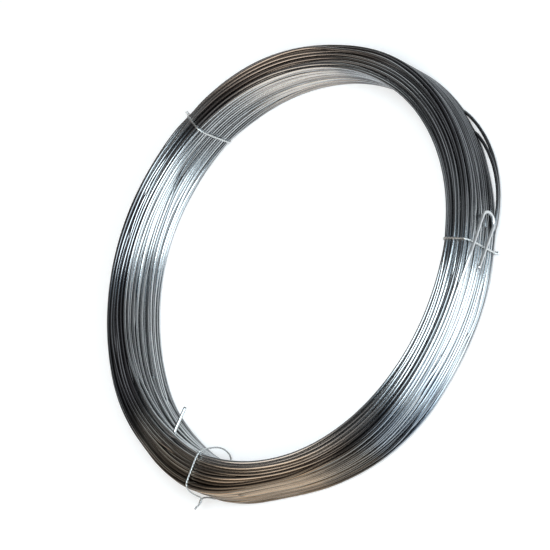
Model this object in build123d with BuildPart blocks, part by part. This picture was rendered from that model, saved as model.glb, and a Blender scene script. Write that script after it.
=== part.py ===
"""A coil of drawn steel wire, held by three wire ties, lying on its end.

Millimetres, +Z up. The origin is on the coil's axis, at the level of the floor that the ties rest on.
Angles go round the axis from +X, in degrees. Heights in the coil are taken from the middle of its width.
"""

import os
from math import asin, cos, degrees, radians, sin, sqrt, tan

from build123d import *

# Wire and winding
wire_diameter = 2.5
wire_flats = 6  # loose turns and ends of the round wire are drawn with this many flats
lay_pitch = 2.8  # from one turn to the next along the axis
bore_diameter = 310.0
turns_in_layers = (13, 12, 13, 12, 13, 12, 13, 12, 13, 12)  # from the bore outwards
wall_valleys = 4  # between the bands of turns that show in the bore and on the outside

# Swelling of the outside by the third tie
swell_direction = 182.0
swell_half_angle = 24.0  # half of the angle that it goes over, with its buried ends
swell_reach = 6.6
swell_end_reach = 4.0  # at the ends of the coil
swell_end_drop = 0.6  # under the ends of the coil
swell_half_band = 14.0  # half of the height at its full reach
swell_depth = 10.0  # of its root, inside the coil

# Slighter swelling into the bore, on its lower half
bore_swell_direction = 132.0
bore_swell_half_angle = 32.0
bore_swell_reach = 4.5
bore_swell_top = 5.0
bore_swell_lift = 2.2  # of its foot, over the lower end of the coil
bore_swell_top_edge = 8.0  # height over which it runs out
bore_swell_foot_edge = 1.5
bore_swell_depth = 8.0

# Two outer turns that have sprung loose, low on the outside
loose_turn_directions = (-43.0, -47.0)
loose_turn_half_angles = (19.0, 16.0)  # half of the angle that each bows over
loose_turn_reaches = (6.9, 6.2)  # how far each stands off its layer
loose_turn_lift = 0.35  # above the lowest turn of the outer layer
loose_turn_buried = 12.0  # length of each end inside the coil

# Outer end of the wire, bent back on itself over the second tie
hairpin_gap = 13.0  # between its two legs
hairpin_turn_share = 0.49  # of the gap: the radius of each half of the turn
hairpin_slope = 18.0  # degrees, falling along the wire
hairpin_leg = 46.0
hairpin_free_leg = 43.6
hairpin_lead = 18.0  # length of the first leg before the tie
hairpin_drop = 0.2  # of the first leg's beginning, under the upper end of the coil
hairpin_over_tie = 0.3
hairpin_bend_radius = 40.0
hairpin_root_angle = -86.0  # where the wire leaves the turns
hairpin_root_drop = 3.2  # under the upper end of the coil
hairpin_root_depth = 5.2  # under the outside of the coil

# Inner end of the wire, standing into the bore
stub_root_angle = 169.65
stub_root_depth = 4.5  # behind the wall of the bore
stub_root_drop = 4.3  # under the upper end of the coil
stub_tip_angle = 167.5
stub_tip_reach = 21.8  # in front of the wall of the bore
stub_tip_drop = 3.4

# Ties, each a loop of thin wire with its two ends side by side on the outside
tie_diameter = 1.25
tie_flats = 6
tie_clearance = 0.15  # between a tie and the turns that it holds
tie_angles = (64.0, -66.0, 182.9)
tie_inner_slacks = (1.0, 1.0, 7.6)  # how far each stands off the wall of the bore
tie_outer_slacks = (1.0, 0.5, 8.9)  # and off the outside
tie_outer_spreads = (0.0, 0.0, 6.0)  # and off the outside at the ends of the coil
tie_pigtail_shares = (0.8, -0.8, -0.15)  # height of the ends, in half widths of the coil
tie_corner_radius = 2.5
tie_bow_radius = 4.0  # in the middle of a slack run
pigtail_length = 4.5
pigtail_lap = 0.1  # how far the two ends press into each other
tail_lengths = (0.0, 0.0, 7.5)  # of the one end that is left longer
tail_bend_radius = 6.0
tail_bend = 14.0  # degrees

# Worked out from the sizes above
wire_radius = wire_diameter / 2
tie_radius = tie_diameter / 2
bore_radius = bore_diameter / 2
layer_step = sqrt(wire_diameter**2 - (lay_pitch / 2) ** 2)  # layers nest in the layer below
layer_radii = [bore_radius + wire_radius + layer_step * i for i in range(len(turns_in_layers))]
layer_tops = [lay_pitch * (turns - 1) / 2 + wire_radius for turns in turns_in_layers]
last_layer_radius = layer_radii[-1]
coil_radius = last_layer_radius + wire_radius
coil_half_width = max(layer_tops)
coil_middle = tie_diameter + tie_clearance + coil_half_width
inner_valley_radius = bore_radius + wire_radius
outer_valley_radius = coil_radius - wire_radius

tie_inner_line = bore_radius - tie_clearance - tie_radius
tie_outer_line = coil_radius + tie_clearance + tie_radius
tie_end_line = coil_half_width + tie_clearance + tie_radius


def polar(angle, radius, height):
    """A point by its angle and distance from the axis, and its height over the coil's middle."""
    turned = radians(angle)
    return Vector(radius * cos(turned), radius * sin(turned), coil_middle + height)


def radial_plane(angle):
    """The upright plane through the axis at an angle: x outwards, y up, from the coil's middle."""
    outwards = polar(angle, 1, 0) - polar(angle, 0, 0)
    return Plane(polar(angle, 0, 0), x_dir=outwards, z_dir=outwards.cross(Vector(0, 0, 1)))


def wire_section(path, across, radius, flats):
    """The section of a wire at the start of its path: a polygon whose flats are a diameter apart."""
    with BuildSketch(Plane(path @ 0, x_dir=across, z_dir=path % 0)) as section:
        RegularPolygon(radius, flats, major_radius=False, rotation=180 / flats - 90)
    return section.sketch


def end_profile():
    """The layers that show on one end, from the bore outwards: long layers stand over short ones."""
    inner_corner = (bore_radius, layer_tops[0] - wire_radius)
    outer_corner = (coil_radius, layer_tops[-1] - wire_radius)
    return [inner_corner, *zip(layer_radii, layer_tops), outer_corner]


def wall_profile(radius, valley_radius, half_height):
    """The bands of turns that show on one wall, downwards: the ridges and valleys between its corners."""
    step = half_height / wall_valleys
    radii = [valley_radius if i % 2 else radius for i in range(2 * wall_valleys)]
    return [(r, half_height - step * i) for i, r in enumerate(radii)][1:]


def bow_arc(wall_radius, half_angle, reach):
    """The arc that meets a wall at both ends of a bow: its radius, its centre's distance and half its angle."""
    half_chord = wall_radius * sin(radians(half_angle))
    rise = wall_radius + reach - wall_radius * cos(radians(half_angle))
    radius = (half_chord**2 + rise**2) / (2 * rise)
    return radius, wall_radius + reach - radius, degrees(asin(half_chord / radius))


def loose_turn_path(direction, half_angle, reach, height):
    """The arc that meets the outer layer at both ends of its bow, and runs on into the coil."""
    radius, centre, half_arc = bow_arc(last_layer_radius, half_angle, reach)
    half_arc += degrees(loose_turn_buried / radius)
    with BuildLine(Plane(polar(direction, centre, height))) as bow:
        CenterArc((0, 0), radius, direction - half_arc, 2 * half_arc)
    return bow.line


def add_swelling(direction, wall_radius, half_angle, reach, outline):
    """A bowed stretch of a wall: its outline, measured from the bow, turned about the bow's own axis."""
    radius, centre, half_arc = bow_arc(wall_radius, half_angle, reach)
    middle = polar(direction, centre, 0)
    side = radial_plane(direction - half_arc)
    with BuildSketch(Plane(middle, x_dir=side.x_dir, z_dir=side.z_dir)) as section:
        with BuildLine():
            Polyline(*[(radius + offset, height) for offset, height in outline], close=True)
        make_face()
    revolve(section.sketch, axis=Axis(middle, Axis.Z.direction), revolution_arc=2 * half_arc)


def hairpin_path():
    """Out of the turns, over the second tie, round a tight turn and back, in the tangent plane there."""
    outwards = radial_plane(tie_angles[1]).x_dir
    over_tie = tie_outer_line + tie_radius + tie_outer_slacks[1] + hairpin_over_tie + wire_radius
    tangent = Plane(
        polar(tie_angles[1], over_tie, 0), x_dir=(-outwards.Y, outwards.X, 0), z_dir=outwards
    )
    along = Vector(cos(radians(hairpin_slope)), -sin(radians(hairpin_slope)))
    across = Vector(along.Y, -along.X) * hairpin_gap
    leg_start = Vector(-hairpin_lead, coil_half_width - hairpin_drop)
    leg_end = leg_start + along * hairpin_leg
    free_end = leg_end + across - along * hairpin_free_leg
    corners = [leg_start, leg_end, leg_end + across, free_end]
    turn_radius = hairpin_gap * hairpin_turn_share
    root_height = coil_half_width - hairpin_root_drop
    with BuildLine() as hairpin:
        FilletPolyline(
            polar(hairpin_root_angle, coil_radius - hairpin_root_depth, root_height),
            *[tangent.from_local_coords(corner) for corner in corners],
            radius=[hairpin_bend_radius, turn_radius, turn_radius],
        )
    return hairpin.line


def stub_path():
    root_height = coil_half_width - stub_root_drop
    tip_height = coil_half_width - stub_tip_drop
    with BuildLine() as stub:
        Line(
            polar(stub_root_angle, bore_radius + stub_root_depth, root_height),
            polar(stub_tip_angle, bore_radius - stub_tip_reach, tip_height),
        )
    return stub.line


# The wire: its wound turns as one turned solid, with the loose turns and both of its ends
with BuildPart() as wire_coil:
    with BuildSketch(radial_plane(0)):
        with BuildLine():
            top = end_profile()
            bottom = [(radius, -height) for radius, height in reversed(top)]
            outside = wall_profile(coil_radius, outer_valley_radius, top[-1][1])
            inside = wall_profile(bore_radius, inner_valley_radius, top[0][1])
            Polyline(*top, *outside, *bottom, *reversed(inside), close=True)
        make_face()
    revolve(axis=Axis.Z)

    edge = coil_half_width - swell_end_drop
    setback = swell_end_reach - swell_reach
    upper_half = [(-swell_depth, edge), (setback, edge), (0, swell_half_band)]
    lower_half = [(offset, -height) for offset, height in reversed(upper_half)]
    root_radius, reach = coil_radius - wire_diameter, swell_reach + wire_diameter
    add_swelling(swell_direction, root_radius, swell_half_angle, reach, upper_half + lower_half)

    foot = bore_swell_lift - coil_half_width
    outline = [
        (bore_swell_depth, bore_swell_top),
        (bore_swell_reach, bore_swell_top),
        (0, bore_swell_top - bore_swell_top_edge),
        (0, foot + bore_swell_foot_edge),
        (bore_swell_reach, foot),
        (bore_swell_depth, foot),
    ]
    root_radius, reach = bore_radius + wire_diameter, -bore_swell_reach - wire_diameter
    add_swelling(bore_swell_direction, root_radius, bore_swell_half_angle, reach, outline)

    lowest_turn = wire_radius - layer_tops[-1] + loose_turn_lift
    bows = zip(loose_turn_directions, loose_turn_half_angles, loose_turn_reaches)
    paths = [loose_turn_path(*bow, lowest_turn + lay_pitch * i) for i, bow in enumerate(bows)]
    for path in (*paths, hairpin_path(), stub_path()):
        sweep(wire_section(path, Axis.Z.direction, wire_radius, wire_flats), path=path)


def make_tie(angle, inner_slack, outer_slack, outer_spread, pigtail_share, tail_length):
    """One tie: a loop round the turns, with its two ends standing out and one of them left longer."""
    plane = radial_plane(angle)
    pigtail_height = coil_half_width * pigtail_share
    pigtail_root = tie_outer_line + outer_slack - tie_diameter
    outer_corner = tie_outer_line + outer_spread
    bow, corner = tie_bow_radius, tie_corner_radius
    with BuildPart() as tie:
        with BuildLine(plane) as loop:
            FilletPolyline(
                (tie_inner_line, -tie_end_line),
                (tie_inner_line - inner_slack, 0),
                (tie_inner_line, tie_end_line),
                (outer_corner, tie_end_line),
                (tie_outer_line + outer_slack, pigtail_height),
                (outer_corner, -tie_end_line),
                radius=[corner, bow, corner, corner, bow, corner],
                close=True,
            )
        sweep(wire_section(loop.line, plane.z_dir, tie_radius, tie_flats), path=loop.line)

        origin = plane.from_local_coords((pigtail_root, pigtail_height))
        outwards = Plane(origin, x_dir=Axis.Z.direction, z_dir=plane.x_dir)
        strand = tie_radius - pigtail_lap / 2
        with BuildSketch(outwards):
            with Locations((strand, 0), (-strand, 0)):
                RegularPolygon(tie_radius, tie_flats, major_radius=False, rotation=180 / tie_flats)
        extrude(amount=pigtail_length)

        if tail_length:
            lean = tail_length / 2 * tan(radians(tail_bend))
            with BuildLine(outwards) as tail:
                FilletPolyline(
                    (strand, 0, pigtail_length - tie_diameter),
                    (strand, 0, pigtail_length + tail_length / 2),
                    (strand + lean, 0, pigtail_length + tail_length),
                    radius=tail_bend_radius,
                )
            sweep(wire_section(tail.line, outwards.x_dir, tie_radius, tie_flats), path=tail.line)
    return tie.part


os.makedirs("parts", exist_ok=True)
wire_coil.part.label = "wire_coil"
export_step(wire_coil.part, "parts/wire_coil.step")

slacks = (tie_inner_slacks, tie_outer_slacks, tie_outer_spreads)
for number, sizes in enumerate(zip(tie_angles, *slacks, tie_pigtail_shares, tail_lengths), start=1):
    tie = make_tie(*sizes)
    tie.label = f"wire_tie_{number}"
    export_step(tie, f"parts/{tie.label}.step")
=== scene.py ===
import bpy
import numpy as np
from mathutils import Matrix, Vector


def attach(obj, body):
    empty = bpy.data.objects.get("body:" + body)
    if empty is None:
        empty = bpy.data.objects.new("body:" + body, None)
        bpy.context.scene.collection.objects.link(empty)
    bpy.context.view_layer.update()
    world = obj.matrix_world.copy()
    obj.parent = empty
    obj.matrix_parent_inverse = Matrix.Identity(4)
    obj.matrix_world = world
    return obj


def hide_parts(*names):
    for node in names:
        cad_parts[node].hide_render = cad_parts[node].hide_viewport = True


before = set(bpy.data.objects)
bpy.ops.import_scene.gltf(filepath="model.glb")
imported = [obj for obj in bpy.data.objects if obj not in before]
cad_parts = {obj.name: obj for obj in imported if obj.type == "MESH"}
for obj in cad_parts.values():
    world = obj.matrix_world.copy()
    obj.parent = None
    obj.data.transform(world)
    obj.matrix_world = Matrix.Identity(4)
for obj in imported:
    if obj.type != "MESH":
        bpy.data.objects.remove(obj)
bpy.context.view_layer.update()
mm = 0.001  # the wire's sizes are in millimetres; meshes, materials and lamps are in metres
tiny = 1e-6  # keeps a division from zero
print("frame loaded:", sorted(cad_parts))


# Camera, over the coil's near side and rolled as the photograph is

lens = {
    "elevation": 45.5,
    "roll": 65.08,
    "distance": 2610.0,
    "aim": (0.0, 0.0, 19.45),  # the coil's centre
    "aside": (-14.9, -5.0),  # the camera's own move across its view, so that the coil sits off centre
    "focal": 226.4,
    "sensor": 36.0,
    "farthest": 100.0,  # metres
}


def placeCamera(spec):
    lift, roll = np.radians([spec["elevation"], spec["roll"]])
    right = np.array([1.0, 0.0, 0.0])
    back = np.array([0.0, -np.cos(lift), np.sin(lift)])
    up = np.cross(back, right)
    across = np.cos(roll) * right - np.sin(roll) * up
    upright = np.sin(roll) * right + np.cos(roll) * up
    place = np.array(spec["aim"]) + spec["distance"] * back
    place = (place + spec["aside"][0] * across + spec["aside"][1] * upright) * mm
    camera = bpy.data.objects.new("camera", bpy.data.cameras.new("camera"))
    camera.data.lens = spec["focal"]
    camera.data.sensor_width = spec["sensor"]
    camera.data.clip_end = spec["farthest"]
    columns = np.column_stack([across, upright, back, place])
    camera.matrix_world = Matrix([*columns.tolist(), [0, 0, 0, 1]])
    bpy.context.scene.collection.objects.link(camera)
    bpy.context.scene.camera = camera


placeCamera(lens)
print("camera placed")


# The winding: every turn of one wire, settled against its neighbours

winding = {
    "wire": 2.5,  # diameter
    "pitch": 2.8,
    "bore": 155.0,  # radius
    "layers": (13, 12) * 5,  # turns in each, from the bore outwards
    "middle": 19.45,  # height of the coil's mid width over the floor
    "startAngle": 170.0,  # where the first turn begins, under the stub
    "endAngle": 279.0,  # where the last one leaves for the hairpin
    "stubRoot": ((155.6, 14.4), (157.3, 14.8)),  # radius and height at the first two stations
    "crossBegin": (0.05, 0.5),  # shares of a turn between which a layer's turns begin to step over
    "crossLength": 0.4,  # share of a turn that the step takes
    "ties": (64.0, -66.0, 182.9),
    "tieSpreads": (9.0, 4.0),  # degrees over which a tie holds the ends in, and rounds the section
    "corner": (0.5, 3.0),  # rounding of the bundle's section, between the ties and under them
    "puff": 0.7,  # how far the ends stand out between the ties
    "dips": (0.2, 0.4),  # spread and greatest depth of the shallow dips in both ends
    "dipLength": 12.0,  # stations over which they change
    "stray": (0.8, 2.0),  # each turn's own wander, radially and along the axis
    "strayLength": 28.0,  # degrees over which it changes
    "swirl": 2.0,  # how far whole strands of turns drift in the section
    "swirlWaves": 7,
    "swirlAcross": (0.09, 0.2),  # radians of a wave for each millimetre of the section
    "swirlRound": (1, 5),  # waves round the coil, from the first number to below the second
    "calm": 5.0,  # depth under a wall or an end in which the turns lie more evenly
    "calmShares": (0.2, 0.7),  # of the wander, left at a surface: towards it, and in every direction
    "outside": (  # angle, spread and reach of each swelling
        (183.0, 14.0, 9.6),
        (208.0, 12.0, -1.8),
        (243.0, 12.0, 3.8),
        (15.0, 15.0, -2.2),
        (48.0, 15.0, 1.6),
        (152.0, 16.0, 2.4),
    ),
    "inside": ((26.0, 24.0, 1.6), (275.0, 70.0, 1.6)),
    "insideLow": ((129.0, 24.0, 5.8), (165.0, 12.0, 2.0)),  # only on the lower half
    "lowFade": 20.0,  # height over which these end
    "seed": 11,
    "stations": 180,  # round one turn while it settles
    "rings": 264,  # round one turn in the mesh
    "sides": 10,
    "pieces": 4,
}

settling = {  # how the turns part, step by step
    "steps": 170,
    "pulledSteps": 119,  # the first ones, in which each turn is also drawn to its own place
    "pull": 0.05,
    "push": 0.32,  # share of an overlap by which a turn gives way
    "ease": 0.3,  # share by which the wire straightens
    "neighbours": 12,
    "refresh": 8,  # steps after which the neighbours are looked up again
    "closest": 0.001,  # the least distance that counts between two turns
    "margin": 0.06,  # kept inside the section
    "parked": (1000.0, 0.0),  # where the last turn's unused stations wait
}


def smoothStep(share):  # 3 s^2 - 2 s^3, from 0 to 1
    share = np.clip(share, 0, 1)
    return share * share * (3 - 2 * share)


def angleFrom(angles, centre):  # signed difference in degrees, from -180 to 180
    return (angles - centre + 180) % 360 - 180


def smoothSeries(rng, count, length):  # white noise through a Gaussian of that many steps, unit spread
    series = np.fft.rfft(rng.standard_normal(count))
    series *= np.exp(-0.5 * (2 * np.pi * np.fft.rfftfreq(count) * length) ** 2)
    series = np.fft.irfft(series, count)
    return series / series.std()


def swells(parts, angles):  # sum of reach * exp(-(angle / spread)^2)
    return sum(reach * np.exp(-((angleFrom(angles, at) / spread) ** 2)) for at, spread, reach in parts)


def layTurns(spec):  # radius, height and layer of each turn, nested in the layer below, wound to and fro
    step = np.sqrt(spec["wire"] ** 2 - (spec["pitch"] / 2) ** 2)
    sites = []
    for layer, turns in enumerate(spec["layers"]):
        radius = spec["bore"] + spec["wire"] / 2 + step * layer
        heights = spec["pitch"] * (np.arange(turns) - (turns - 1) / 2)
        heights = heights if layer % 2 else heights[::-1]
        sites.append(np.column_stack([np.full(turns, radius), heights, np.full(turns, layer)]))
    sites = np.concatenate(sites)
    early = sum(spec["layers"][:2]) - 1  # the wire begins behind the bore's first turns
    return np.concatenate([sites[early : early + 1], sites[:early], sites[early + 1 :]])


def bundleSize(sites):  # least and greatest radius of the turns' centres, and half their height
    return sites[:, 0].min(), sites[:, 0].max(), sites[:, 1].max()


def swirlField(spec, rng, places, angles):  # curl of a few waves, so turns drift together and stay packed
    drift = np.zeros_like(places)
    for _ in range(spec["swirlWaves"]):
        across = rng.uniform(*spec["swirlAcross"])
        tilt = rng.uniform(0, 2 * np.pi)
        along = rng.integers(*spec["swirlRound"]) * rng.choice([-1, 1])
        kr, kz = across * np.cos(tilt), across * np.sin(tilt)
        phase = kr * places[..., 0] + kz * places[..., 1] + along * np.radians(angles)
        phase += rng.uniform(0, 2 * np.pi)
        drift[..., 0] += kz * np.cos(phase) / across
        drift[..., 1] -= kr * np.cos(phase) / across
    return spec["swirl"] * drift / np.sqrt(spec["swirlWaves"] / 2)


def ownPlaces(spec, rng, sites, angles, walls):  # where each turn would lie alone, at [station, turn]
    share = np.arange(spec["stations"])[:, None] / spec["stations"]
    begin = rng.uniform(*spec["crossBegin"], len(spec["layers"]))[sites[:, 2].astype(int)]
    moved = smoothStep((share - begin) / spec["crossLength"])[..., None]
    following = np.concatenate([sites[1:, :2], sites[-1:, :2]])
    own = sites[:, :2] * (1 - moved) + following * moved  # each turn steps over to the next one's place
    length = spec["strayLength"] / 360 * spec["stations"]
    chains = [smoothSeries(rng, share.size * len(sites), length) * reach for reach in spec["stray"]]
    wander = np.stack([chain.reshape(len(sites), -1).T for chain in chains], axis=-1)
    wander += swirlField(spec, rng, own, angles)
    low, high, tall = bundleSize(sites)
    underWall = np.minimum(own[..., 0] - low, high - own[..., 0])
    under = np.stack([underWall, tall - np.abs(own[..., 1])], axis=-1) / spec["calm"]
    towards, everyWay = spec["calmShares"]
    own += wander * np.clip(under, towards, 1) * np.clip(under.min(-1), everyWay, 1)[..., None]
    outside, inside, insideLow = walls
    depth = (own[..., 0] - low) / (high - low)
    inward = inside + insideLow * smoothStep(0.5 - own[..., 1] / spec["lowFade"])
    own[..., 0] += outside * depth - inward * (1 - depth)
    return own


def bundleSection(spec, rng, sites, angles, walls):  # middle, half size and corner of a rounded rectangle
    outside, inside, insideLow = walls
    low, high, tall = bundleSize(sites)
    holds = [[(tie, spread, 1) for tie in spec["ties"]] for spread in spec["tieSpreads"]]
    tight, pinch = (swells(hold, angles) for hold in holds)
    spread, deepest = spec["dips"]
    dips = np.clip(spread * smoothSeries(rng, spec["stations"], spec["dipLength"])[:, None], -deepest, 0)
    halfHigh = tall + spec["puff"] * (1 - np.clip(tight, 0, 1)) + dips
    halfDeep = (high - low + outside + inside + insideLow) / 2
    centre = low - inside - insideLow + halfDeep
    corner = spec["corner"][0] + (spec["corner"][1] - spec["corner"][0]) * pinch
    return np.stack([centre, 0 * centre], axis=-1), np.stack([halfDeep, halfHigh], axis=-1), corner


def squaredGaps(places):  # between every two turns at each station
    return ((places[:, :, None] - places[:, None]) ** 2).sum(-1)


def pushApart(places, near, wire, spec):  # sum over the neighbours of a share of each overlap, away from it
    gaps = places[:, :, None] - places[np.arange(len(places))[:, None, None], near]
    apart = np.sqrt((gaps**2).sum(-1))
    push = np.clip(wire - apart, 0, None) / np.maximum(apart, spec["closest"]) * (apart > tiny)
    return spec["push"] * (gaps * push[..., None]).sum(2)


def easeWire(places, ends, share):  # each station moves towards the mean of the two beside it on the wire
    chain = places.transpose(1, 0, 2).reshape(-1, 2)
    wire = chain[:ends]
    middle = (np.concatenate([wire[:1], wire[:-1]]) + np.concatenate([wire[1:], wire[-1:]])) / 2
    wire += share * (middle - wire)
    return chain.reshape(*places.shape[1::-1], 2).transpose(1, 0, 2)


def pastSection(places, section, margin):  # how far each turn is outside the section's rounded rectangle
    middle, half, corner = section
    side = places - middle
    past = np.maximum(np.abs(side) - half + corner[..., None] + margin, 0)
    depth = np.sqrt((past**2).sum(-1))
    back = np.clip(depth - corner, 0, None) / np.maximum(depth, tiny)
    return np.sign(side) * past * back[..., None]


def settleTurns(spec, steps):  # places[station, turn] = (radius, height), apart by a wire where they touch
    rng = np.random.default_rng(spec["seed"])
    sites = layTurns(spec)
    share = np.arange(spec["stations"]) / spec["stations"]
    angles = (spec["startAngle"] + 360 * share)[:, None]
    walls = [swells(spec[key], angles) for key in ("outside", "inside", "insideLow")]
    own = ownPlaces(spec, rng, sites, angles, walls)
    section = bundleSection(spec, rng, sites, angles, walls)
    there = np.ones(own.shape[:2], bool)
    there[:, -1] = share < (spec["endAngle"] - spec["startAngle"]) / 360  # the last turn isn't a whole one
    places = own.copy()
    places[~there] = steps["parked"]
    for step in range(steps["steps"]):
        if step % steps["refresh"] == 0:
            count = steps["neighbours"]
            near = np.argpartition(squaredGaps(places), count, axis=-1)[..., :count]
        places += pushApart(places, near, spec["wire"], steps)
        places = easeWire(places, int(there.sum()), steps["ease"])
        pull = steps["pull"] if step < steps["pulledSteps"] else 0
        places += pull * (own - places) * there[..., None]
        places -= pastSection(places, section, steps["margin"]) * there[..., None]
        places[~there] = steps["parked"]
        places[:2, 0] = spec["stubRoot"]
    apart = np.sqrt(squaredGaps(places)) + steps["parked"][0] * np.eye(len(sites))
    print("turns settled, tightest tenth apart by", round(float(np.percentile(apart.min(-1), 10)), 2), "mm")
    return places, there


def sampleChain(chain, at):  # Catmull-Rom through a chain of points, at fractional places along it
    first = np.clip(np.floor(at).astype(int), 0, len(chain) - 2)
    t = (at - first)[:, None]
    p0, p1, p2, p3 = (chain[np.clip(first + i, 0, len(chain) - 1)] for i in (-1, 0, 1, 2))
    square = 2 * p0 - 5 * p1 + 4 * p2 - p3
    cube = 3 * (p1 - p2) + p3 - p0
    return 0.5 * (2 * p1 + t * (p2 - p0 + t * (square + t * cube)))


looseTurns = {
    "turns": (113, 114),  # counted from the bore
    "directions": (-43.0, -47.5),
    "halfAngles": (19.0, 15.5),
    "reaches": (6.9, 6.8),
    "heights": (-15.05, -12.5),
    "layer": 19.89,  # of these turns, over the bore
    "free": 2.0,  # rise over the layer at which a turn has its own height
}


def bowOut(angles, direction, halfAngle, reach, radius):  # rise of a tighter arc over a layer's circle
    half, off = np.radians(halfAngle), np.radians(angleFrom(angles, direction))
    rise = radius + reach - radius * np.cos(half)
    arc = ((radius * np.sin(half)) ** 2 + rise**2) / (2 * rise)
    away = radius + reach - arc
    out = away * np.cos(off) + np.sqrt(np.maximum(arc**2 - (away * np.sin(off)) ** 2, 0))
    return np.where(np.abs(off) < half, np.maximum(out - radius, 0), 0)


def polar(angles, radii, heights):  # (r cos a, r sin a, h), with heights from mid width
    turned = np.radians(angles)
    return np.stack([radii * np.cos(turned), radii * np.sin(turned), heights + winding["middle"]], axis=-1)


def windWire(spec, loose, places, there):  # the settled places as one run of points, two turns sprung loose
    chain = places.transpose(1, 0, 2).reshape(-1, 2)[: int(there.sum())]
    last = (len(chain) - 1) / spec["stations"]
    at = np.arange(int(last * spec["rings"]) + 1) / spec["rings"]  # in turns from the wire's first station
    run = sampleChain(chain, at * spec["stations"])
    angles = spec["startAngle"] + 360 * at
    layer = spec["bore"] + loose["layer"]
    for bow in zip(*(loose[key] for key in ("turns", "directions", "halfAngles", "reaches", "heights"))):
        turn, direction, halfAngle, reach, height = bow
        middle = turn + ((direction - spec["startAngle"]) % 360) / 360
        mine = np.abs(at - middle) < 0.5  # half a turn to each side
        rise = bowOut(angles, direction, halfAngle, reach, layer) * mine
        share = smoothStep(rise / loose["free"])
        lifted = (1 - share) * run[:, 0] + share * (layer + rise)
        run[:, 0] = np.maximum(run[:, 0], lifted)
        run[:, 1] += share * (height - run[:, 1])
    return polar(angles, run[:, 0], run[:, 1])


settled, wound = settleTurns(winding, settling)
wirePoints = windWire(winding, looseTurns, settled, wound)
print("wire wound:", len(wirePoints), "rings")


# The two ends of the wire: the stub out of the bore, and the hairpin over the second tie

stub = {
    "tip": (167.5, 133.2, 14.6),  # angle, radius and height
    "root": (169.0, 150.5, 14.4),  # where it begins to bend into its turn
    "joins": 1,  # rings into the first turn
    "straightPoints": 8,
    "curvePoints": 12,
    "handle": 1.2,  # strength of the curve's directions, in its own length
}

hairpin = {
    "plane": 179.6,  # its distance from the coil's axis
    "angle": -66.0,
    "slope": 16.25,  # degrees, falling along the wire
    "taper": 1.75,  # degrees by which its free leg comes back to the other one
    "start": (-18.0, 17.85),  # along the tangent and up from mid width
    "leg": 46.0,
    "freeLeg": 43.6,
    "gap": 14.25,
    "paintedLitEnd": 125.0,  # length before its tip that is painted lighter as a painted highlight, without the painted reflections
    "joins": 6,  # points of the first leg that the curve into it takes the place of
    "legPoints": 24,
    "bendPoints": 20,
    "curvePoints": 20,
    "handle": 0.8,
}


def hermite(start, end, leave, arrive, count):  # cubic between two points, with a direction at each
    t = np.linspace(0, 1, count)[:, None]
    shares = [2 * t**3 - 3 * t**2 + 1, t**3 - 2 * t**2 + t, 3 * t**2 - 2 * t**3, t**3 - t**2]
    return np.concatenate(shares, axis=1) @ np.stack([start, leave, end, arrive])


def sideAxes(angle):  # outward, along the tangent and up, at that angle round the coil
    turned = np.radians(angle)
    outward = np.array([np.cos(turned), np.sin(turned), 0])
    tangent = np.array([-np.sin(turned), np.cos(turned), 0])
    return outward, tangent, np.array([0.0, 0.0, 1.0])


def stubPath(spec, points):  # a straight tip, then a cubic into the first turn
    tip, bend = polar(*spec["tip"]), polar(*spec["root"])
    root = points[spec["joins"]]
    along = points[spec["joins"] + 1] - root
    along = along / np.linalg.norm(along)
    reach = np.linalg.norm(root - bend) * spec["handle"]
    straight = tip + (bend - tip) * np.linspace(0, 1, spec["straightPoints"], endpoint=False)[:, None]
    lead = (bend - tip) / np.linalg.norm(bend - tip)
    curve = hermite(bend, root, lead * reach, along * reach, spec["curvePoints"])
    return np.concatenate([straight, curve[:-1], points[spec["joins"] :]])


def hairpinPath(spec, points):  # a leg, a round bend and a free leg, flat on a plane beside the outside
    outward, tangent, high = sideAxes(spec["angle"])
    fall, taper = np.radians([-spec["slope"], spec["taper"]])
    half = spec["gap"] / 2
    along = np.array([np.cos(fall), np.sin(fall)])
    across = np.array([along[1], -along[0]])
    start = np.array(spec["start"])
    legEnd = start + along * (spec["leg"] - half)
    around = np.linspace(0, np.pi + taper, spec["bendPoints"])[:, None]
    bend = legEnd + half * (across - np.cos(around) * across + np.sin(around) * along)
    back = along * np.cos(taper) + across * np.sin(taper)
    legs = np.linspace(0, 1, spec["legPoints"])[:, None]
    first = start + (legEnd - start) * legs
    free = bend[-1] - back * (spec["freeLeg"] - half) * legs
    flat = np.concatenate([first[:-1], bend, free[1:]])[spec["joins"] :]
    pin = outward * spec["plane"] + flat[:, :1] * tangent + (flat[:, 1:] + winding["middle"]) * high
    root = points[-1]
    leave = points[-1] - points[-2]
    leave = leave / np.linalg.norm(leave)
    arrive = along[0] * tangent + along[1] * high
    reach = np.linalg.norm(pin[0] - root) * spec["handle"]
    curve = hermite(root, pin[0], leave * reach, arrive * reach, spec["curvePoints"])
    return np.concatenate([points[:-1], curve[:-1], pin])


wirePoints = stubPath(stub, wirePoints)
wirePoints = hairpinPath(hairpin, wirePoints)
print("wire with its ends:", len(wirePoints), "rings")


# Tubes: a round profile carried along a path

wireMap = {
    "margin": 0.06,  # of each strip of the map, in its own height
    "capSize": 0.4,  # radius of a cap, in a strip's height
    "caps": (0.3, 0.7),  # where the two caps lie along their strip
}


def runLengths(path):  # length of the path up to each point
    return np.concatenate([[0], np.cumsum(np.linalg.norm(np.diff(path, axis=0), axis=1))])


def ringAngles(sides):
    return np.linspace(0, 2 * np.pi, sides, endpoint=False)


def tubeRings(path, radius, sides, reference):  # path + radius * (cos a * side + sin a * upper)
    ahead = np.gradient(path, axis=0)
    ahead /= np.linalg.norm(ahead, axis=1, keepdims=True)
    side = reference - (reference * ahead).sum(1, keepdims=True) * ahead  # square to the path
    side /= np.linalg.norm(side, axis=1, keepdims=True)
    upper = np.cross(ahead, side)
    around = ringAngles(sides)[:, None]
    return path[:, None] + radius * (np.cos(around) * side[:, None] + np.sin(around) * upper[:, None])


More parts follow.
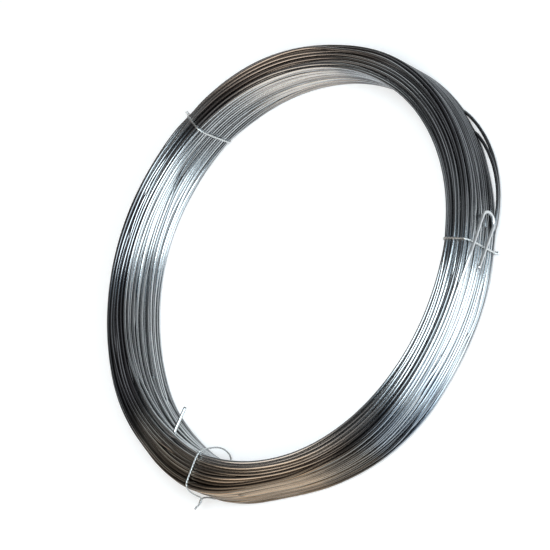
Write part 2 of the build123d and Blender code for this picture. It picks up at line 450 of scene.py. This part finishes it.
def tubeMesh(name, rings):  # a quad for each side between two rings, and a flat cap at each end
    count, sides = rings.shape[:2]
    index = np.arange(count * sides).reshape(count, sides)
    beside = np.roll(index, -1, axis=1)
    quads = np.stack([index[:-1], beside[:-1], beside[1:], index[1:]], axis=-1).reshape(-1, 4)
    corners = np.concatenate([quads.ravel(), index[0][::-1], index[-1]])
    totals = np.concatenate([np.full(len(quads), 4), [sides, sides]])
    starts = np.cumsum(totals) - totals
    mesh = bpy.data.meshes.new(name)
    mesh.vertices.add(count * sides)
    mesh.vertices.foreach_set("co", (rings * mm).astype(np.float32).ravel())
    mesh.loops.add(len(corners))
    mesh.loops.foreach_set("vertex_index", corners.astype(np.int32))
    mesh.polygons.add(len(starts))
    mesh.polygons.foreach_set("loop_start", starts.astype(np.int32))
    mesh.polygons.foreach_set("loop_total", totals.astype(np.int32))
    mesh.polygons.foreach_set("use_smooth", np.arange(len(totals)) < len(quads))
    return mesh


def mapTube(mesh, count, sides, perStrip, spec):  # a strip of the map for each turn, and one for the caps
    strips = int(np.ceil((count - 1) / perStrip)) + 1
    ring, edge = np.divmod(np.arange((count - 1) * sides), sides)
    strip = ring // perStrip
    left = (ring % perStrip) / perStrip
    right = left + 1 / perStrip
    inner = 1 - 2 * spec["margin"]
    low, high = ((strip + spec["margin"] + inner * (edge + up) / sides) / strips for up in (0, 1))
    spots = np.stack([left, low, left, high, right, high, right, low], axis=-1).reshape(-1, 2)
    around = ringAngles(sides)
    disc = spec["capSize"] / strips * np.column_stack([np.cos(around), np.sin(around)])
    first, last = ((along, (strips - 0.5) / strips) for along in spec["caps"])
    spots = np.concatenate([spots, disc[::-1] + first, disc + last]).astype(np.float32)
    mesh.uv_layers.new(name="OFBake").data.foreach_set("uv", spots.ravel())


def grainTube(mesh, lengths, sides):  # length along the wire, and the place round it as cosine and sine
    around = ringAngles(sides)
    grain = np.empty((len(lengths), sides, 3), np.float32)
    grain[..., 0] = (lengths * mm)[:, None]
    grain[..., 1] = np.cos(around)
    grain[..., 2] = np.sin(around)
    mesh.attributes.new("wireGrain", "FLOAT_VECTOR", "POINT").data.foreach_set("vector", grain.ravel())


def tubePiece(name, replaced, material, rings, lengths, perStrip):
    count, sides = rings.shape[:2]
    mesh = tubeMesh(name, rings)
    mapTube(mesh, count, sides, perStrip, wireMap)
    grainTube(mesh, lengths, sides)
    mesh.update(calc_edges=True)
    mesh.validate()
    mesh.materials.append(material)
    piece = bpy.data.objects.new(name, mesh)
    bpy.context.scene.collection.objects.link(piece)
    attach(piece, "root")
    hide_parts(replaced)


# Materials

class Socket:  # a node's output, with sums and products of values as Math nodes
    def __init__(self, shade, output):
        self.shade = shade
        self.output = output

    def maths(self, operation, *values):
        return self.shade.node("ShaderNodeMath", {"operation": operation}, dict(enumerate(values)))

    def __add__(self, other):
        return self.maths("ADD", self, other)

    def __sub__(self, other):
        return self.maths("SUBTRACT", self, other)

    def __rsub__(self, other):
        return self.maths("SUBTRACT", other, self)

    def __mul__(self, other):
        return self.maths("MULTIPLY", self, other)

    __radd__ = __add__
    __rmul__ = __mul__

    def between(self, low, high):  # 0 below low, 1 above high, smooth between
        sockets = {"Value": self, "From Min": low, "From Max": high}
        return self.shade.node("ShaderNodeMapRange", {"interpolation_type": "SMOOTHSTEP"}, sockets)


class Shade:  # one material's nodes
    def __init__(self, name):
        self.material = bpy.data.materials.new(name)
        self.material.use_nodes = True
        self.tree = self.material.node_tree
        self.tree.nodes.clear()

    def node(self, kind, settings=None, sockets=None, output=0):
        made = self.tree.nodes.new(kind)
        for key, value in (settings or {}).items():
            setattr(made, key, value)
        for key, value in (sockets or {}).items():
            if isinstance(value, Socket):
                self.tree.links.new(value.output, made.inputs[key])
            else:
                made.inputs[key].default_value = value
        return Socket(self, made.outputs[output]) if made.outputs else None

    def noise(self, vector, scale, detail):
        sockets = {"Vector": vector, "Scale": scale, "Detail": detail}
        return self.node("ShaderNodeTexNoise", None, sockets)

    def scaled(self, vector, scale):
        return self.node("ShaderNodeMapping", None, {"Vector": vector, "Scale": scale})

    def mix(self, factor, first, second, blend="MIX"):  # of two colours, the node's inputs 6 and 7
        settings = {"data_type": "RGBA", "blend_type": blend}
        return self.node("ShaderNodeMix", settings, {0: factor, 6: first, 7: second}, 2)

    def finish(self, surface):
        self.node("ShaderNodeOutputMaterial", None, {"Surface": surface})
        return self.material


drawnSteel = {
    "bright": (0.65, 0.665, 0.675, 1),
    "dull": (0.22, 0.225, 0.23, 1),
    # the hairpin's end: a lighter colour, as a painted highlight
    "paintedLitEnd": (0.66, 0.66, 0.66, 1),
    "rim": (0.65, 0.65, 0.66, 1),  # tint of what the wire mirrors at its edges
    "roughness": (0.1, 0.24),
    "roughShares": (0.6, 0.4),  # of the die lines and of the stretches in the roughness
    "paintedLitEndRough": 0.2,  # added to the roughness on the hairpin's end, where it is painted lighter
    "lineScale": (6, 1, 1),  # of the die lines, along the wire and round it
    "stretchScale": (1, 0.08, 0.08),  # of what differs from one stretch of wire to the next
    "lineNoise": (5.0, 3),  # scale and detail
    "stretchNoise": (5.0, 2),
    "patchNoise": (22.0, 3),
    "wearShares": (0.3, 0.7),  # of the die lines and of the stretches in the wear
    "wear": (0.4, 0.6),  # where dull turns into bright
    "lineBump": (0.25, 0.0001),  # strength, and depth in metres
    "patchReach": 0.06,  # how far the patches shift the edge of a painted reflection
    "paintedReflections": (  # painted reflections and shade: angle, distances out on that side and from the axis over which it begins, and its tint
        (205.0, (0.16, 0.2), (0.166, 0.175), (0.6, 0.55, 0.49, 1)),
        (243.0, (0.188, 0.208), (0.166, 0.175), (0.58, 0.64, 0.72, 1)),
        (338.0, (0.15, 0.19), (0.166, 0.175), (0.28, 0.28, 0.29, 1)),
        (122.0, (0.165, 0.183), (0.156, 0.16), (0.52, 0.51, 0.52, 1)),
        (196.0, (0.15, 0.19), (0.157, 0.162), (0.97, 0.84, 0.7, 1)),
        (28.0, (0.15, 0.19), (0.157, 0.162), (0.84, 0.76, 0.7, 1)),
    ),
    "strength": 0.9,  # of the painted reflections and shade, and of the painted highlight on the hairpin's end
    "paintedLitEndFrom": runLengths(wirePoints)[-1] * mm - hairpin["paintedLitEnd"] * mm,  # length along the wire at which the painted highlight begins
    "paintedLitEndFade": 0.01,
}

tieSteel = {
    **drawnSteel,
    "bright": (0.72, 0.72, 0.71, 1),
    "dull": (0.5, 0.5, 0.5, 1),
    "roughness": (0.2, 0.36),
    "paintedReflections": ((183.0, (0.218, 0.225), (0.18, 0.185), (0.35, 0.35, 0.36, 1)),),  # the long tail, dark: a painted shade
    "strength": 1.0,
}


def drawnWire(name, spec):
    shade = Shade(name)
    grain = shade.node("ShaderNodeAttribute", {"attribute_name": "wireGrain"}, None, "Vector")
    place = shade.node("ShaderNodeTexCoord", None, None, "Object")
    lines = shade.noise(shade.scaled(grain, spec["lineScale"]), *spec["lineNoise"])
    stretches = shade.noise(shade.scaled(grain, spec["stretchScale"]), *spec["stretchNoise"])
    patches = shade.noise(place, *spec["patchNoise"])
    lineShare, stretchShare = spec["wearShares"]
    wear = (stretches * stretchShare + lines * lineShare).between(*spec["wear"])
    colour = shade.mix(wear, spec["dull"], spec["bright"])
    along = shade.node("ShaderNodeSeparateXYZ", None, {"Vector": grain}, "X")
    # the hairpin's end, painted lighter as a painted highlight and kept free of the painted reflections
    paintedLitEnd = along.between(spec["paintedLitEndFrom"], spec["paintedLitEndFrom"] + spec["paintedLitEndFade"]) * spec["strength"]
    flat = shade.node("ShaderNodeVectorMath", {"operation": "MULTIPLY"}, {0: place, 1: (1, 1, 0)})
    radius = shade.node("ShaderNodeVectorMath", {"operation": "LENGTH"}, {0: flat}, "Value")
    # painted reflections and shade: warm, bluish and dark tints by place that stand in for what the wire
    # would mirror
    for angle, beyond, outer, tint in spec["paintedReflections"]:
        sockets = {0: place, 1: sideAxes(angle)[0].tolist()}
        reach = shade.node("ShaderNodeVectorMath", {"operation": "DOT_PRODUCT"}, sockets, "Value")
        paintedReflection = radius.between(*outer) * (reach + patches * spec["patchReach"]).between(*beyond)
        colour = shade.mix(paintedReflection * (1 - paintedLitEnd) * spec["strength"], colour, tint, "MULTIPLY")
    # painted highlight: the hairpin's end takes one lighter colour
    colour = shade.mix(paintedLitEnd, colour, spec["paintedLitEnd"])
    low, high = spec["roughness"]
    lineRough, stretchRough = ((high - low) * share for share in spec["roughShares"])
    rough = lines * lineRough + stretches * stretchRough + low + paintedLitEnd * spec["paintedLitEndRough"]
    strength, depth = spec["lineBump"]
    bump = shade.node("ShaderNodeBump", None, {"Strength": strength, "Distance": depth, "Height": lines})
    sockets = {
        "Base Color": colour,
        "Metallic": 1.0,
        "Roughness": rough,
        "Normal": bump,
        "Specular Tint": spec["rim"],
    }
    return shade.finish(shade.node("ShaderNodeBsdfPrincipled", None, sockets))


wireMaterial = drawnWire("drawnSteel", drawnSteel)
tieMaterial = drawnWire("tieSteel", tieSteel)
print("materials made")


# The wire's pieces, each of whole turns

def wirePieces(spec, points):
    reference = points * (1, 1, 0)
    rings = tubeRings(points, spec["wire"] / 2, spec["sides"], reference)
    lengths = runLengths(points)
    turnsEach = int(np.ceil(len(points) / spec["rings"] / spec["pieces"]))
    share = turnsEach * spec["rings"]
    for number in range(spec["pieces"]):
        part = slice(number * share, min((number + 1) * share, len(points) - 1) + 1)
        name = f"wire_turns_{number + 1}"
        tubePiece(name, "wire_coil", wireMaterial, rings[part], lengths[part], spec["rings"])
    print("wire pieces made:", spec["pieces"])


wirePieces(winding, wirePoints)


# Ties: thin wire round the bundle, twisted together on the outside

tie = {
    "wire": 1.25,
    "clear": 0.12,
    "angles": (64.4, -65.85, 182.9),
    "leans": ((0.5, 0.3), (0.1, -0.45), (0.0, 0.15)),  # degrees for each leanRise up and leanOut outwards
    "leanRise": 18.0,
    "leanOut": 10.0,
    "leanRadius": 165.0,  # where the lean outwards is none
    "outerSlacks": (0.8, 0.5, 2.0),
    "innerSlacks": (0.5, 0.5, 7.4),
    "innerCentres": (0.0, 0.0, -4.0),  # height of the slack's middle in the bore
    "slackPast": 2.0,  # how far past the turns the slack reaches
    "slackPower": 1.3,
    "twistHeights": (14.4, -14.8, -2.7),
    "twistHold": 5.0,  # length under the twist in which the loop lies close again
    "twistGap": 0.5,  # between the loop and the twist
    "twistLength": 4.5,
    "twistTurn": 540.0,  # degrees
    "twistPoints": 28,
    "tails": (0.0, 0.0, 4.8),
    "tailShift": (2.0, -1.5),  # up and sideways along the tail
    "tailBow": 1.2,
    "tailPoints": 16,
    "wave": (0.3, 2.6),  # sideways reach and length of the small bends the turns press into it
    "outlinePoints": 721,
    "trim": 4,  # points of the loop left out on each side of the twist
    "easing": (4, 3),  # passes that round the loop, and the whole tie
    "sides": 10,
    "spacing": 0.5,
}


def evenPath(points, spacing):  # the same line with points a given length apart
    along = runLengths(points)
    at = np.linspace(0, along[-1], int(along[-1] / spacing))
    return np.stack([np.interp(at, along, points[:, axis]) for axis in range(points.shape[1])], axis=-1)


def easePath(points, passes):  # each point becomes (before + 2 * itself + after) / 4, with the ends fixed
    for _ in range(passes):
        points = np.concatenate([points[:1], (points[:-2] + 2 * points[1:-1] + points[2:]) / 4, points[-1:]])
    return points


def tieLoop(spec, section, number):  # the tight outline round the turns there, with slack outside and inside
    reach = winding["wire"] / 2 + spec["wire"] / 2 + spec["clear"]
    around = np.radians(np.linspace(0, 360, spec["outlinePoints"]))
    face = np.column_stack([np.cos(around), np.sin(around)])
    loop = evenPath(section[np.argmax(section @ face.T, axis=0)] + reach * face, spec["spacing"])
    outside = loop[:, 0] > section[:, 0].mean()
    centre = np.where(outside, 0, spec["innerCentres"][number])
    halfHigh = np.ptp(section[:, 1]) / 2 + spec["slackPast"] + np.abs(centre)
    share = np.clip(np.abs(loop[:, 1] - centre) / halfHigh, 0, 1)
    height = spec["twistHeights"][number]
    under = np.where(outside, np.clip(height - loop[:, 1], 0, None), 0)
    swell = np.cos(share * np.pi / 2) ** spec["slackPower"] * np.exp(-((under / spec["twistHold"]) ** 2))
    loop[:, 0] += swell * np.where(outside, spec["outerSlacks"][number], -spec["innerSlacks"][number])
    begin = int(np.argmin(np.where(outside, np.abs(loop[:, 1] - height), np.inf)))
    loop = np.roll(loop[:-1], -begin, axis=0)  # from the twist round to the twist
    return easePath(evenPath(np.concatenate([loop, loop[:1]]), spec["spacing"]), spec["easing"][0])


def twistedEnds(spec, root, tail):  # two helixes round one line outwards, the first one going on as the tail
    run = np.linspace(0, spec["twistLength"], spec["twistPoints"])
    turn = np.radians(90 + run / spec["twistLength"] * spec["twistTurn"])
    out = root[0] + spec["twistGap"] + run
    half = spec["wire"] / 2
    up, sideways = half * np.sin(turn), half * np.cos(turn)
    first, second = (np.column_stack([out, root[1] + hand * up, hand * sideways]) for hand in (1, -1))
    if tail:
        go = np.linspace(0, 1, spec["tailPoints"])[1:, None]
        bow = go * (1 - go) * (0, spec["tailBow"], 0)
        first = np.concatenate([first, first[-1] + go * (tail, *spec["tailShift"]) + bow])
    return first, second


def tiePiece(spec, number):
    angle = spec["angles"][number]
    share = ((angle - winding["startAngle"]) % 360) / 360
    section = settled[int(round(share * winding["stations"])) % winding["stations"]]
    section = section[section[:, 0] < settling["parked"][0]]
    loop = tieLoop(spec, section, number)
    first, second = twistedEnds(spec, loop[0], spec["tails"][number])
    loop = np.column_stack([loop, np.zeros(len(loop))])[spec["trim"] : -spec["trim"]]
    path = np.concatenate([first[::-1], loop, second])
    path = easePath(evenPath(path, spec["spacing"]), spec["easing"][1])
    out, height, sideways = path.T
    reach, length = spec["wave"]
    perRise, perOut = spec["leans"][number]
    lean = perRise * height / spec["leanRise"] + perOut * (out - spec["leanRadius"]) / spec["leanOut"]
    sideways = sideways + reach * np.sin(2 * np.pi * runLengths(path) / length) + np.radians(lean) * out
    outward, tangent, high = sideAxes(angle)
    points = np.column_stack([out, sideways, height + winding["middle"]])
    points = points @ np.stack([outward, tangent, high])
    rings = tubeRings(points, spec["wire"] / 2, spec["sides"], np.broadcast_to(tangent, points.shape))
    name, replaced = f"tie_wire_{number + 1}", f"wire_tie_{number + 1}"
    tubePiece(name, replaced, tieMaterial, rings, runLengths(points), len(points))


for number in range(len(tie["angles"])):
    tiePiece(tie, number)
print("ties made")


# Floor and light

studio = {
    "floorRadius": 9.0,
    "floorSides": 120,
    "floorColour": (0.8, 0.8, 0.8, 1),
    "floorLift": (0.32, 0.3, 0.29, 1),  # what the floor adds where it is seen, so that it is white
    "room": (0.08, 0.08, 0.083, 1),
    "lamps": {  # place, size, watts and colour; each is turned to the origin
        "keyLight": ((0.18, -1.75, 1.4), (1.8, 3.0), 65.0, (0.84, 0.95, 1.0)),
        "overLight": ((0.14, -1.0, 2.05), (1.4, 1.6), 20.0, (0.9, 0.97, 1.0)),
        "skyLight": ((0.2, -2.0, 1.55), (3.4, 2.8), 14.0, (0.45, 0.75, 1.0)),
        "warmLight": ((-2.6, 0.55, 1.35), (2.1, 2.6), 23.0, (1.0, 0.85, 0.7)),
        "endLight": ((-0.95, 0.95, 1.6), (1.6, 1.6), 2.3, (1.0, 0.9, 0.8)),
        "sideLight": ((1.3, 0.15, 1.7), (1.5, 1.5), 3.0, (0.88, 0.95, 1.0)),
        "coolLight": ((2.2, 1.8, 1.0), (1.5, 1.6), 7.0, (0.92, 1.0, 1.0)),
    },
}


def makeFloor(spec):  # a flat disc
    around = ringAngles(spec["floorSides"])
    rim = spec["floorRadius"] * np.column_stack([np.cos(around), np.sin(around), 0 * around])
    mesh = bpy.data.meshes.new("floor")
    mesh.from_pydata(rim.tolist(), [], [list(range(len(rim)))])
    shade = Shade("paleFloor")
    rays = ("Is Camera Ray", "Is Glossy Ray", "Is Transmission Ray")
    camera, glossy, through = (shade.node("ShaderNodeLightPath", None, None, ray) for ray in rays)
    plain = shade.node("ShaderNodeBsdfDiffuse", None, {"Color": spec["floorColour"]})
    lift = {"Color": spec["floorLift"], "Strength": camera + glossy + through}
    glow = shade.node("ShaderNodeEmission", None, lift)
    mesh.materials.append(shade.finish(shade.node("ShaderNodeAddShader", None, {0: plain, 1: glow})))
    floor = bpy.data.objects.new("floor", mesh)
    bpy.context.scene.collection.objects.link(floor)


def makeLamp(name, place, size, watts, colour):
    lamp = bpy.data.lights.new(name, "AREA")
    lamp.shape = "RECTANGLE"
    lamp.size, lamp.size_y = size
    lamp.energy = watts
    lamp.color = colour
    made = bpy.data.objects.new(name, lamp)
    made.location = place
    made.rotation_euler = Vector(place).to_track_quat("Z", "Y").to_euler()
    made.visible_camera = False
    bpy.context.scene.collection.objects.link(made)


makeFloor(studio)
for name, lamp in studio["lamps"].items():
    makeLamp(name, *lamp)
world = bpy.data.worlds.new("room")
bpy.context.scene.world = world
world.use_nodes = True
world.node_tree.nodes["Background"].inputs["Color"].default_value = studio["room"]
bpy.context.scene.view_settings.view_transform = "Standard"
print("studio lit")
